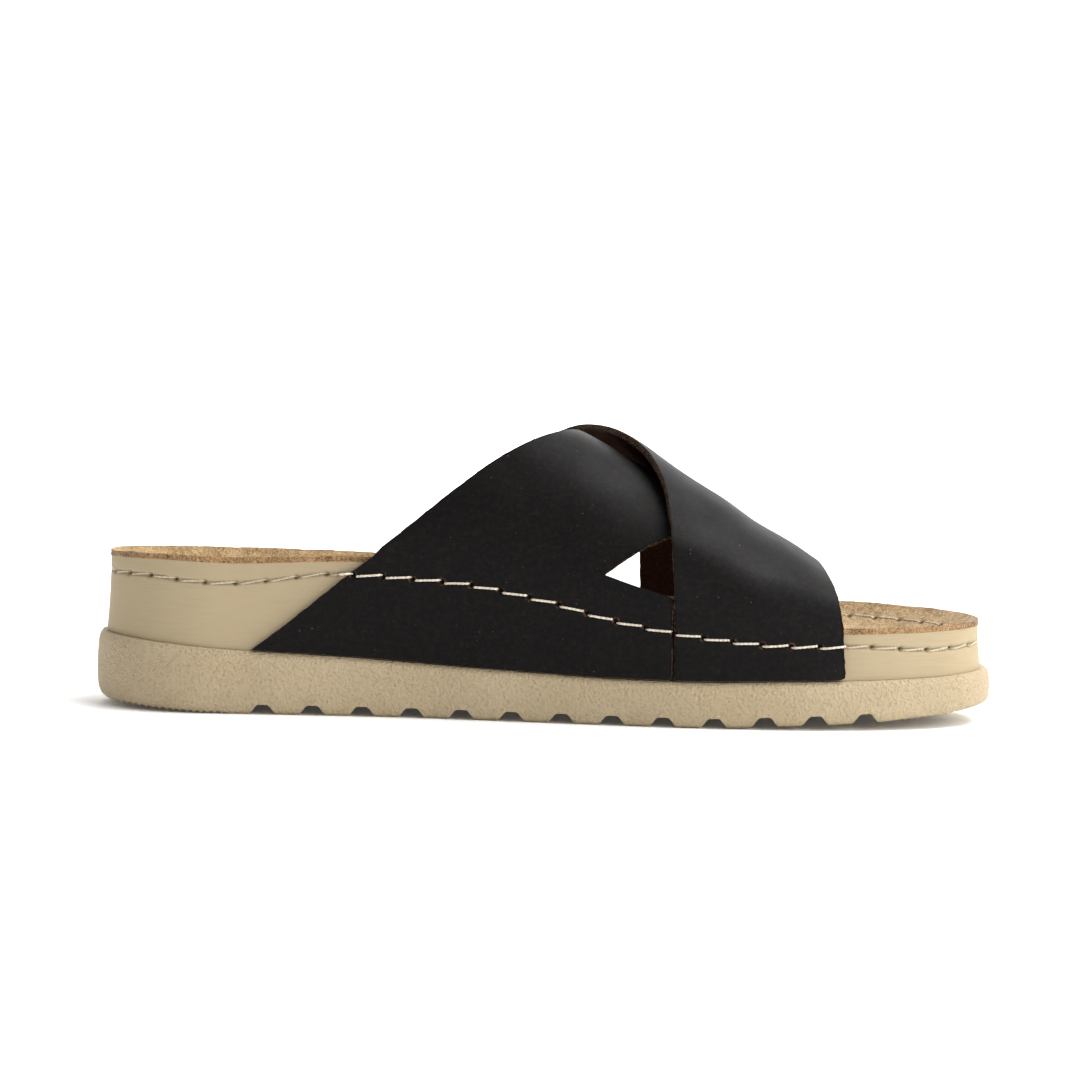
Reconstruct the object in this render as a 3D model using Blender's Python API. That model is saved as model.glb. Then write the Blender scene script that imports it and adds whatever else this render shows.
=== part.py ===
"""Cross-strap slide sandal, left foot: outsole, midsole, insole and a two-strap leather upper.

Units are metres. +X points to the toe, +Y to the outer (little toe) side and +Z up, with the tread's
flat part at z = 0. Every section is worked out from the sizes below and from short tables of shares.
"""

import bpy
import numpy as np

MM = 0.001

# Sizes that a last maker would quote
SOLE_LENGTH = 265 * MM
BALL_WIDTH = 98 * MM
HEEL_HEIGHT = 45.6 * MM  # floor to the rim at the heel
LEDGE_HEIGHT = 13.6 * MM  # floor to the top of the outsole at the ball
TOE_SPRING = 5 * MM
INSTEP_HEIGHT = 81.6 * MM  # floor to the underside of the lower strap where the straps cross
RIDGE_SHIFT = 9 * MM  # how far the instep's ridge lies towards the big toe

# Materials as bought
LEATHER = 2.0 * MM
INSOLE = 1.7 * MM
GAP = 0.3 * MM  # between pieces that touch

# Ledge and wall of the sole unit
LEDGE_MARGIN = 0.5 * MM  # of the ledge that shows outside the straps
WALL_FLARE = 1.0 * MM  # how much wider the midsole is at its foot
WALL_INSET = LEDGE_MARGIN + LEATHER + GAP + WALL_FLARE
CUP_REACH = 16 * MM  # how far in from the wall the cupped edge runs
CUP_POWER = 2.2

# Tread
GROOVE_PITCH = 14.4 * MM
GROOVE_COUNT = 13
FIRST_GROOVE = -80.4 * MM
GROOVE_MOUTH = 7.0 * MM
GROOVE_ROOF = 2.0 * MM
GROOVE_DEPTH = 2.2 * MM
SIDE_RADIUS = 2.4 * MM  # round of the outsole's lower edge
TOP_CHAMFER = 1.6 * MM

# Straps
STRAP_JOIN = 0.5 * MM  # how deep the straps are pressed into each other where they are joined
STRAP_LIFT = 4.6 * MM  # how far the upper strap stands off at its rear edge
LIFT_AT = 26 * MM
LIFT_WIDTH = 12 * MM
RIM_SHARE = 0.15  # share of the way over the foot that is spent on each side wall
ARCH_POWER = 2.2
LAY_SHARE = 0.115  # share of the way over, from the rim, that the upper strap takes to rise over the lower

# Mesh density, and the steps that the straps' slope is taken from
STATIONS = 36
ACROSS_STRAP = 10
OVER_STRAP = 34
ROWS_APART = 0.003  # least way over the foot between two rows of a strap
SLOPE_STEP = 0.5 * MM
SLOPE_TURN = 0.004
CREASE_ANGLE = 0.6  # radians past which an edge is shaded as a crease

# One row for each section of the sole unit, heel to toe. along: share of SOLE_LENGTH. middle and half:
# centre line and half width as shares of BALL_WIDTH, before the ends are rounded. tread: share of
# TOE_SPRING. ledge: share of LEDGE_HEIGHT. floor and the two rims: shares of HEEL_HEIGHT.
SECTIONS = np.array(
    [
        (0.00, 0.000, 0.335, 0.40, 1.60, 0.745, 1.000, 1.000),
        (0.06, 0.000, 0.335, 0.20, 1.50, 0.740, 1.005, 0.990),
        (0.15, 0.003, 0.338, 0.00, 1.37, 0.735, 0.992, 0.980),
        (0.28, 0.018, 0.358, 0.00, 1.26, 0.745, 1.015, 0.960),
        (0.40, 0.033, 0.405, 0.00, 1.13, 0.725, 0.980, 0.890),
        (0.50, 0.030, 0.450, 0.00, 1.04, 0.650, 0.885, 0.790),
        (0.58, 0.020, 0.480, 0.00, 0.98, 0.575, 0.770, 0.710),
        (0.67, 0.003, 0.500, 0.00, 0.96, 0.510, 0.685, 0.670),
        (0.76, -0.020, 0.485, 0.13, 1.00, 0.490, 0.640, 0.670),
        (0.86, -0.046, 0.450, 0.26, 1.04, 0.490, 0.635, 0.680),
        (0.94, -0.066, 0.425, 0.54, 1.09, 0.500, 0.645, 0.672),
        (1.00, -0.082, 0.415, 0.90, 1.17, 0.510, 0.660, 0.660),
    ]
)
ALONG, MIDDLE, HALF, TREAD, LEDGE, FLOOR, RIM_IN, RIM_OUT = range(8)
FLAT_END = 0.67  # share of the length where the tread starts to rise towards the toe
HEEL_ROUND, HEEL_POWER = 0.135, 2.0  # share of the length that the end takes, and its roundness
TOE_ROUND, TOE_POWER = 0.235, 2.35

# Underside of the upper along its ridge. along: share of SOLE_LENGTH. ridge: share of INSTEP_HEIGHT.
RIDGE = np.array(
    [
        (0.15, 1.200),
        (0.32, 1.140),
        (0.45, 1.075),
        (0.53, 1.005),
        (0.565, 0.950),
        (0.61, 0.865),
        (0.69, 0.745),
        (0.73, 0.660),
        (0.77, 0.588),
        (0.80, 0.525),
        (0.85, 0.440),
    ]
)

# Edges of each strap as it goes over the foot. over: 0 at the foot of the inner side, 1 at the foot of
# the outer side, RIM_SHARE at the rims, 0.5 at the ridge. rear and front: shares of SOLE_LENGTH.
LOWER_STRAP = np.array(
    [
        (0.000, 0.183, 0.640),
        (0.150, 0.314, 0.640),
        (0.176, 0.340, 0.638),
        (0.182, 0.346, 0.568),
        (0.250, 0.403, 0.613),
        (0.315, 0.452, 0.660),
        (0.360, 0.488, 0.692),
        (0.440, 0.526, 0.748),
        (0.500, 0.541, 0.789),
        (0.560, 0.565, 0.795),
        (0.650, 0.600, 0.797),
        (0.740, 0.612, 0.799),
        (0.850, 0.616, 0.801),
        (1.000, 0.617, 0.802),
    ]
)
UPPER_STRAP = np.array(
    [
        (0.000, 0.6430, 0.8250),
        (0.150, 0.6425, 0.8220),
        (0.255, 0.6380, 0.8140),
        (0.290, 0.6350, 0.8110),
        (0.362, 0.6250, 0.8050),
        (0.440, 0.6020, 0.7990),
        (0.500, 0.5680, 0.7950),
        (0.560, 0.5380, 0.7640),
        (0.640, 0.4940, 0.7070),
        (0.685, 0.4630, 0.6760),
        (0.750, 0.4160, 0.6250),
        (0.820, 0.3560, 0.5560),
        (0.834, 0.3420, 0.5430),
        (0.840, 0.3350, 0.6140),
        (0.850, 0.3250, 0.6145),
        (1.000, 0.1950, 0.6145),
    ]
)
OVER, REAR, FRONT = range(3)

# Profile of the outsole's side: share of the height up to the ledge, and inset from the widest line
SIDE_PROFILE = (
    (0.00, SIDE_RADIUS),
    (0.06, 0.45 * SIDE_RADIUS),
    (0.20, 0.10 * SIDE_RADIUS),
    (0.45, 0.0),
    (0.82, 0.2 * TOP_CHAMFER),
    (0.94, 0.5 * TOP_CHAMFER),
    (1.00, TOP_CHAMFER),
)

FINISHES = {
    "outsole": ((0.54, 0.43, 0.27), 0.62),
    "midsole": ((0.56, 0.46, 0.30), 0.55),
    "insole": ((0.50, 0.36, 0.21), 0.85),
    "upper": ((0.020, 0.017, 0.015), 0.45),
}


def curve(table, column, at):
    """Smooth curve through one column of a table that never overshoots its rows."""
    along, value = table[:, 0], table[:, column]
    step = np.diff(along)
    slope = np.diff(value) / step
    product = slope[:-1] * slope[1:]
    mean = 2 * product / np.where(product > 0, slope[:-1] + slope[1:], 1)
    tangent = np.concatenate([slope[:1], np.where(product > 0, mean, 0), slope[-1:]])
    row = np.clip(np.searchsorted(along, at, side="right") - 1, 0, len(step) - 1)
    t = np.clip((at - along[row]) / step[row], 0, 1)
    start, end = (1 + 2 * t) * (1 - t) ** 2, t**2 * (3 - 2 * t)
    leave, arrive = t * (1 - t) ** 2 * step[row], t**2 * (t - 1) * step[row]
    return start * value[row] + end * value[row + 1] + leave * tangent[row] + arrive * tangent[row + 1]


def smooth(t):
    """Soft step from 0 to 1."""
    t = np.clip(t, 0, 1)
    return t * t * (3 - 2 * t)


def rounding(share):
    """How much of the half width is left near the two ends, as a superellipse at each."""
    heel = np.clip(1 - share / HEEL_ROUND, 0, 1)
    toe = np.clip((share - 1 + TOE_ROUND) / TOE_ROUND, 0, 1)
    return (1 - heel**HEEL_POWER) ** (1 / HEEL_POWER) * (1 - toe**TOE_POWER) ** (1 / TOE_POWER)


def raw_edge(share, inset, side):
    half = (BALL_WIDTH * curve(SECTIONS, HALF, share) - inset) * rounding(share)
    return BALL_WIDTH * curve(SECTIONS, MIDDLE, share) + side * half


def centre_shift():
    """Moves the outline so that its two sides are equally far from y = 0."""
    share = np.linspace(0, 1, 2001)
    return -(raw_edge(share, 0, 1).max() + raw_edge(share, 0, -1).min()) / 2


CENTRE_SHIFT = centre_shift()


def edge_y(share, inset, side):
    """Plan outline: side -1 is the inner side of the foot, +1 the outer side."""
    return raw_edge(share, inset, side) + CENTRE_SHIFT


def along_x(share, inset):
    return -SOLE_LENGTH / 2 + inset + share * (SOLE_LENGTH - 2 * inset)


def share_at(x, inset):
    return np.clip((x + SOLE_LENGTH / 2 - inset) / (SOLE_LENGTH - 2 * inset), 0, 1)


def tread_z(share):
    return TOE_SPRING * curve(SECTIONS, TREAD, share)


def ledge_z(share):
    return LEDGE_HEIGHT * curve(SECTIONS, LEDGE, share)


def rim_z(share, side):
    return HEEL_HEIGHT * curve(SECTIONS, RIM_IN if side < 0 else RIM_OUT, share)


def wall_inset(rise):
    """Inset of the midsole's wall at a share of its height: it flares towards its foot."""
    return WALL_INSET - WALL_FLARE * (1 - rise) ** 2


def cup_z(share, reach, side):
    """Top of the insole at a distance in from the wall."""
    floor = HEEL_HEIGHT * curve(SECTIONS, FLOOR, share)
    left = 1 - min(reach / CUP_REACH, 1)
    return floor + (rim_z(share, side) - floor) * left**CUP_POWER


def cup_steepness(share, reach, side):
    """Length of the cup's slope for each unit of run, so that a sheet keeps its thickness."""
    floor = HEEL_HEIGHT * curve(SECTIONS, FLOOR, share)
    left = 1 - min(reach / CUP_REACH, 1)
    slope = (rim_z(share, side) - floor) * CUP_POWER * left ** (CUP_POWER - 1) / CUP_REACH
    return np.sqrt(1 + slope**2)


def stations():
    """Shares of the length, closer at both ends, with one where the tread's flat part ends."""
    spread = (1 - np.cos(np.pi * np.linspace(0, 1, STATIONS))) / 2
    return np.sort(np.append(spread, FLAT_END))


SHARES = stations()


def ring(inset, height):
    """One closed ring round the sole: height(share, side) gives z. It runs up the inner side and back."""
    rows = []
    for side, shares in ((-1, SHARES), (1, SHARES[-2:0:-1])):
        x = along_x(shares, inset)
        rows.append(np.stack([x, edge_y(shares, inset, side), height(shares, side)], axis=1))
    return np.concatenate(rows)


def ring_solid(name, rings):
    """Closed solid from rings, lowest first, with a ladder of quads across the first and last ring."""
    count = len(rings[0])
    faces = []
    for level in range(len(rings) - 1):
        for i in range(count):
            j = (i + 1) % count
            low, high = level * count, (level + 1) * count
            faces.append((low + i, low + j, high + j, high + i))
    top = (len(rings) - 1) * count
    for i in range(len(SHARES) - 1):
        near, far = (i, i + 1), ((count - i) % count, count - i - 1)
        ladder = [near[0], near[1], far[1], far[0]]
        ladder = list(dict.fromkeys(ladder))
        faces.append([top + k for k in ladder])
        faces.append(ladder[::-1])
    return new_object(name, np.concatenate(rings), faces)


def new_object(name, points, faces):
    mesh = bpy.data.meshes.new(name)
    mesh.from_pydata([tuple(map(float, p)) for p in points], [], [tuple(f) for f in faces])
    mesh.validate()
    obj = bpy.data.objects.new(name, mesh)
    bpy.context.scene.collection.objects.link(obj)
    return obj


def helper(obj):
    obj.hide_render = True
    obj.display_type = "WIRE"
    return obj


def boolean(obj, other, operation):
    modifier = obj.modifiers.new(other.name, "BOOLEAN")
    modifier.object = other
    modifier.operation = operation
    modifier.solver = "EXACT"


def make_outsole():
    def level(rise):
        return lambda share, side: tread_z(share) + rise * (ledge_z(share) - tread_z(share))

    rings = [ring(inset, level(rise)) for rise, inset in SIDE_PROFILE]
    outsole = ring_solid("outsole", rings)
    boolean(outsole, helper(make_groove_cutter()), "DIFFERENCE")
    return outsole


def make_groove_cutter():
    """All the tread's grooves as prisms across the sole, each as deep as the others below the tread."""
    points, faces = [], []
    reach = BALL_WIDTH
    for index in range(GROOVE_COUNT):
        x = FIRST_GROOVE + index * GROOVE_PITCH
        if abs(x) + GROOVE_MOUTH > SOLE_LENGTH / 2:
            continue
        base = float(tread_z(np.array([share_at(x, 0)]))[0])
        flank = (GROOVE_MOUTH - GROOVE_ROOF) / 2
        drop = base + TOE_SPRING
        wide = GROOVE_MOUTH / 2 + flank * drop / GROOVE_DEPTH
        section = [
            (x - wide, base - drop),
            (x + wide, base - drop),
            (x + GROOVE_ROOF / 2, base + GROOVE_DEPTH),
            (x - GROOVE_ROOF / 2, base + GROOVE_DEPTH),
        ]
        first = len(points)
        points += [(px, -reach, pz) for px, pz in section] + [(px, reach, pz) for px, pz in section]
        faces += [(first, first + 1, first + 2, first + 3), (first + 7, first + 6, first + 5, first + 4)]
        for k in range(4):
            n = (k + 1) % 4
            faces.append((first + n, first + k, first + 4 + k, first + 4 + n))
    return new_object("groove_cutter", points, faces)


def make_midsole():
    def wall(rise):
        def height(share, side):
            foot = ledge_z(share) + GAP
            return foot + rise * (rim_z(share, side) - INSOLE - GAP - foot)

        return height

    def cup(reach):
        def height(share, side):
            steep = cup_steepness(share, reach, side)
            return cup_z(share, reach, side) - (INSOLE + GAP) * steep

        return height

    rings = [ring(wall_inset(rise), wall(rise)) for rise in (0, 0.15, 0.4, 1)]
    rings += [ring(WALL_INSET + reach, cup(reach)) for reach in cup_steps()[1:]]
    return ring_solid("midsole", rings)


def cup_steps():
    return [CUP_REACH * share for share in (0, 0.1, 0.25, 0.45, 0.7, 1)]


def make_insole():
    def top(reach):
        return lambda share, side: cup_z(share, reach, side)

    def bottom(reach):
        def height(share, side):
            steep = cup_steepness(share, reach, side) if reach else 1
            return cup_z(share, reach, side) - INSOLE * steep

        return height

    steps = cup_steps()
    rings = [ring(WALL_INSET + reach, bottom(reach)) for reach in steps[::-1]]
    rings += [ring(WALL_INSET + reach, top(reach)) for reach in steps]
    return ring_solid("insole", rings)


def vault(x, over):
    """Inner surface of the upper, before any lift. x in metres, over from 0 to 1 as in the tables."""
    near = over < 0.5
    side = np.where(near, -1, 1)
    way = np.where(near, over, 1 - over)
    rise = np.clip(way / RIM_SHARE, 0, 1)
    inset = wall_inset(rise) - GAP
    share = share_at(x, inset)
    y_wall = np.where(near, edge_y(share, inset, -1), edge_y(share, inset, 1))
    rim = np.where(near, rim_z(share, -1), rim_z(share, 1))
    foot = ledge_z(share) + GAP
    middle = (edge_y(share, WALL_INSET, -1) + edge_y(share, WALL_INSET, 1)) / 2
    y_ridge = middle - RIDGE_SHIFT
    z_ridge = INSTEP_HEIGHT * curve(RIDGE, 1, (x + SOLE_LENGTH / 2) / SOLE_LENGTH)
    angle = np.clip((way - RIM_SHARE) / (0.5 - RIM_SHARE), 0, 1) * np.pi / 2
    span = np.abs(y_wall - y_ridge)
    y_arch = y_ridge + side * span * np.cos(angle) ** (2 / ARCH_POWER)
    z_arch = rim + (z_ridge - rim) * np.sin(angle) ** (2 / ARCH_POWER)
    on_wall = way < RIM_SHARE
    z = np.where(on_wall, foot + rise * (rim - foot), z_arch)
    return np.stack([x, np.where(on_wall, y_wall, y_arch), z], axis=-1)


def vault_normal(x, over):
    """Outward direction of the vault, from small steps along it and over it."""
    along = vault(x + SLOPE_STEP, over) - vault(x - SLOPE_STEP, over)
    before, after = np.clip(over - SLOPE_TURN, 0, 1), np.clip(over + SLOPE_TURN, 0, 1)
    across = vault(x, after) - vault(x, before)
    normal = np.cross(along, across)
    return normal / np.linalg.norm(normal, axis=-1, keepdims=True)


def lift(x, over):
    """How far the upper strap's underside lies off the vault: none at the walls, over the lower strap
    by less than a leather's thickness where the two are joined, and more at its rear edge."""
    way = np.minimum(over, 1 - over) - RIM_SHARE
    lay = smooth(way / LAY_SHARE)
    bump = STRAP_LIFT * np.exp(-(((x - LIFT_AT) / LIFT_WIDTH) ** 2))
    return lay * (LEATHER - STRAP_JOIN + bump)


def make_strap(name, table, lifted):
    """A strap as a slab of LEATHER thickness between its two edges, over the whole foot."""
    rows = np.linspace(0, 1, OVER_STRAP)
    clear = np.abs(rows[:, None] - table[:, OVER]).min(axis=1) > ROWS_APART
    rows = np.union1d(rows[clear], table[:, OVER])
    rear = SOLE_LENGTH * (np.interp(rows, table[:, OVER], table[:, REAR]) - 0.5)
    front = SOLE_LENGTH * (np.interp(rows, table[:, OVER], table[:, FRONT]) - 0.5)
    across = np.linspace(0, 1, ACROSS_STRAP)
    x = rear[:, None] + across * (front - rear)[:, None]
    over = np.repeat(rows[:, None], ACROSS_STRAP, axis=1)
    base, normal = vault(x, over), vault_normal(x, over)
    off = lift(x, over)[..., None] if lifted else 0
    inner = (base + normal * off).reshape(-1, 3)
    outer = (base + normal * (off + LEATHER)).reshape(-1, 3)
    return slab(name, inner, outer, len(rows), ACROSS_STRAP)


def slab(name, inner, outer, high, wide):
    count = high * wide
    faces = []
    for r in range(high - 1):
        for c in range(wide - 1):
            a, b, d, e = r * wide + c, r * wide + c + 1, (r + 1) * wide + c + 1, (r + 1) * wide + c
            faces.append((e, d, b, a))
            faces.append((count + a, count + b, count + d, count + e))
    border = list(range(wide))
    border += [r * wide + wide - 1 for r in range(1, high)]
    border += [(high - 1) * wide + c for c in range(wide - 2, -1, -1)]
    border += [r * wide for r in range(high - 2, 0, -1)]
    for k, start in enumerate(border):
        end = border[(k + 1) % len(border)]
        faces.append((start, end, count + end, count + start))
    return new_object(name, np.concatenate([inner, outer]), faces)


def make_upper():
    upper = make_strap("upper", LOWER_STRAP, lifted=False)
    boolean(upper, helper(make_strap("upper_strap", UPPER_STRAP, lifted=True)), "UNION")
    return upper


def dress(obj):
    colour, roughness = FINISHES[obj.name]
    material = bpy.data.materials.new(obj.name)
    material.use_nodes = True
    shader = material.node_tree.nodes["Principled BSDF"]
    shader.inputs["Base Color"].default_value = (*colour, 1)
    shader.inputs["Roughness"].default_value = roughness
    obj.data.materials.append(material)
    obj.data.shade_smooth()
    obj.data.set_sharp_from_angle(angle=CREASE_ANGLE)


def main():
    for obj in list(bpy.data.objects):
        bpy.data.objects.remove(obj, do_unlink=True)
    for make in (make_outsole, make_midsole, make_insole, make_upper):
        dress(make())


main()
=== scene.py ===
"""Looks of the cross-strap slide sandal, left foot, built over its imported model.

Every piece is worked out as whole arrays from the sizes and short tables of the solids: a pebbled outsole, a
ground foam midsole and a split leather insole, two oiled leather straps that cross over the instep, and the
seam that runs all round. Units are metres: +X points to the toe, +Y to the outer side and +Z up.
"""

import logging
from dataclasses import dataclass, field
from enum import Enum
from functools import cached_property
from typing import Any, Callable, Sequence

import bpy
import numpy as np
from bpy.types import Material, Node, NodeSocket, NodeTree, Object
from mathutils import Matrix, Vector

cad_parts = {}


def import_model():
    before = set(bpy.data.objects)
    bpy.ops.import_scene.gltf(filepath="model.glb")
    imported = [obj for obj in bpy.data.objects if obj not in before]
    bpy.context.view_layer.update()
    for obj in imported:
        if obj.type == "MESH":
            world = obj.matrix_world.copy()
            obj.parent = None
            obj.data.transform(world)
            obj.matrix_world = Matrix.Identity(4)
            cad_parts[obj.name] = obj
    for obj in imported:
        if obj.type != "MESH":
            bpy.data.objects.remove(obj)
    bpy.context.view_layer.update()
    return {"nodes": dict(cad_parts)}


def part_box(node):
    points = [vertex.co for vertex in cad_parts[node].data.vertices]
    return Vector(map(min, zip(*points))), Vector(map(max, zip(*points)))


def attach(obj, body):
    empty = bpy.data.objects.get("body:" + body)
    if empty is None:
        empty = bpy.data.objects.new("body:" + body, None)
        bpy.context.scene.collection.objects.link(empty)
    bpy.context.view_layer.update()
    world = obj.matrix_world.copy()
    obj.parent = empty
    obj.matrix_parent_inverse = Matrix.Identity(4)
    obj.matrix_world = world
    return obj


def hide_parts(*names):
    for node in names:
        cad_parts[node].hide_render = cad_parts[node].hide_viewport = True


Array = np.ndarray
LOG = logging.getLogger("sandal")
BODY = "root"
MM = 0.001

# One row for each section of the sole unit, heel to toe. along: share of the sole's length. middle and half:
# centre line and half width as shares of the ball's width. tread: share of the toe spring. ledge: share of
# the ledge's height. floor and the two rims: shares of the heel's height.
SECTIONS = np.array([
    (0.00, 0.000, 0.335, 0.40, 1.60, 0.745, 1.000, 1.000),
    (0.06, 0.000, 0.335, 0.20, 1.50, 0.740, 1.005, 0.990),
    (0.15, 0.003, 0.338, 0.00, 1.37, 0.735, 0.992, 0.980),
    (0.28, 0.018, 0.358, 0.00, 1.26, 0.745, 1.015, 0.960),
    (0.40, 0.033, 0.405, 0.00, 1.13, 0.725, 0.980, 0.890),
    (0.50, 0.030, 0.450, 0.00, 1.04, 0.650, 0.885, 0.790),
    (0.58, 0.020, 0.480, 0.00, 0.98, 0.575, 0.770, 0.710),
    (0.67, 0.003, 0.500, 0.00, 0.96, 0.510, 0.685, 0.670),
    (0.76, -0.020, 0.485, 0.18, 1.00, 0.490, 0.640, 0.670),
    (0.86, -0.046, 0.450, 0.42, 1.04, 0.490, 0.635, 0.680),
    (0.94, -0.066, 0.425, 0.76, 1.09, 0.500, 0.645, 0.672),
    (1.00, -0.082, 0.415, 1.12, 1.17, 0.510, 0.660, 0.660),
])
ALONG, MIDDLE, HALF, TREAD, LEDGE, FLOOR, RIM_IN, RIM_OUT = range(8)

# Underside of the straps along the instep's ridge. along: share of the length. ridge: share of its height.
RIDGE = np.array([
    (0.15, 1.200),
    (0.32, 1.140),
    (0.45, 1.075),
    (0.53, 1.005),
    (0.565, 0.950),
    (0.61, 0.865),
    (0.69, 0.745),
    (0.73, 0.660),
    (0.77, 0.588),
    (0.80, 0.525),
    (0.85, 0.440),
])

# Edges of each strap on its way over the foot. over: 0 at the foot of the inner side, 1 at the foot of the
# outer side, 0.15 in from each at the rims, 0.5 at the ridge. rear and front: shares of the length.
LOWER_STRAP = np.array([
    (0.000, 0.183, 0.6415),
    (0.150, 0.314, 0.6413),
    (0.172, 0.336, 0.6413),
    (0.1755, 0.3395, 0.6350),
    (0.182, 0.346, 0.568),
    (0.250, 0.403, 0.613),
    (0.315, 0.4475, 0.660),
    (0.360, 0.477, 0.692),
    (0.440, 0.518, 0.748),
    (0.500, 0.538, 0.789),
    (0.560, 0.565, 0.795),
    (0.650, 0.600, 0.797),
    (0.740, 0.612, 0.799),
    (0.850, 0.616, 0.801),
    (1.000, 0.617, 0.802),
])
UPPER_STRAP = np.array([
    (0.000, 0.6430, 0.8250),
    (0.150, 0.6425, 0.8220),
    (0.255, 0.6380, 0.8140),
    (0.290, 0.6350, 0.8110),
    (0.362, 0.6250, 0.8050),
    (0.440, 0.6020, 0.7990),
    (0.500, 0.5680, 0.7950),
    (0.560, 0.5380, 0.7640),
    (0.640, 0.4940, 0.7070),
    (0.685, 0.4630, 0.6760),
    (0.750, 0.4160, 0.6250),
    (0.820, 0.3560, 0.5560),
    (0.834, 0.3420, 0.5430),
    (0.842, 0.3330, 0.6080),
    (0.846, 0.3290, 0.6145),
    (1.000, 0.1950, 0.6145),
])
OVER, REAR, FRONT = range(3)

# Height of the seam below the rim. along: share of the sole's length. drop: millimetres.
SEAM_DROP = np.array([
    (0.00, 6.0),
    (0.05, 6.4),
    (0.10, 7.4),
    (0.14, 7.6),
    (0.20, 6.6),
    (0.26, 5.4),
    (0.50, 5.3),
    (0.85, 5.3),
    (0.90, 6.2),
    (0.94, 6.9),
    (1.00, 6.6),
])


def curve(table: Array, column: int, at: Array) -> Array:
    """Smooth curve through one column of a table that never overshoots its rows.

    Cubic pieces whose tangents are the harmonic mean of the slopes on both sides, and 0 at a peak.

    Args:
        table: rows in order of their first column.
        column: the column to follow.
        at: places along the first column.

    Returns:
        The curve's value at each place.
    """
    along, value = table[:, 0], table[:, column]
    step = np.diff(along)
    slope = np.diff(value) / step
    product = slope[:-1] * slope[1:]
    mean = 2 * product / np.where(product > 0, slope[:-1] + slope[1:], 1)
    tangent = np.concatenate([slope[:1], np.where(product > 0, mean, 0), slope[-1:]])
    row = np.clip(np.searchsorted(along, at, side="right") - 1, 0, len(step) - 1)
    t = np.clip((at - along[row]) / step[row], 0, 1)
    start, end = (1 + 2 * t) * (1 - t) ** 2, t**2 * (3 - 2 * t)
    leave, arrive = t * (1 - t) ** 2 * step[row], t**2 * (t - 1) * step[row]
    return start * value[row] + end * value[row + 1] + leave * tangent[row] + arrive * tangent[row + 1]


def smooth(t: Array) -> Array:
    """Soft step from 0 to 1: three squares less two cubes."""
    t = np.clip(t, 0, 1)
    return t * t * (3 - 2 * t)


def unit(vectors: Array) -> Array:
    """Vectors divided by their own length."""
    return vectors / np.linalg.norm(vectors, axis=-1, keepdims=True)


def value_noise(points: Array, size: float, seed: int) -> Array:
    """Smooth random field from -1 to 1: hashed corner values of a cubic lattice, blended by soft steps.

    Args:
        points: places, with the last axis x, y and z.
        size: edge of a lattice cell in metres.
        seed: picks one field of many.

    Returns:
        One value for each place.
    """
    place = points / size
    cell = np.floor(place)
    share = smooth(place - cell)
    total = np.zeros(points.shape[:-1])
    for corner in np.ndindex(2, 2, 2):
        lattice = (cell + corner).astype(np.int64).astype(np.uint64)
        key = lattice @ np.array([73856093, 19349663, 83492791], np.uint64) + np.uint64(seed)
        key = (key ^ (key >> np.uint64(15))) * np.uint64(2246822519)
        key = (key ^ (key >> np.uint64(13))) * np.uint64(3266489917)
        value = ((key >> np.uint64(16)) & np.uint64(0xFFFF)).astype(float) / 0x7FFF - 1
        total += value * np.prod(np.where(np.array(corner) == 1, share, 1 - share), axis=-1)
    return total


def uneven(points: Array, coarse: float, fine: float, share: float, seed: int) -> Array:
    """Random field of a coarse size, with a share of a finer one on top of it."""
    return value_noise(points, coarse, seed) + share * value_noise(points, fine, seed + 1)


def late_step(t: Array, gain: float, wait: float = 0.3) -> Array:
    """Soft step that waits until its gain has brought a share past a threshold."""
    return smooth(t * gain - wait)


def bell(distance: Array, width: float, power: int = 2) -> Array:
    """1 in the middle, falling softly to 0 past a width; a higher power keeps its top flat for longer."""
    return np.exp(-((distance / width) ** power))


def nearest(points: Array, centres: Array) -> Array:
    """Distance from each place to the closest of some centres."""
    flat = points.reshape(-1, 3)
    found = np.full(len(flat), np.inf)
    for centre in centres:
        found = np.minimum(found, np.sum((flat - centre) ** 2, axis=1))
    return np.sqrt(found).reshape(points.shape[:-1])


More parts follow.
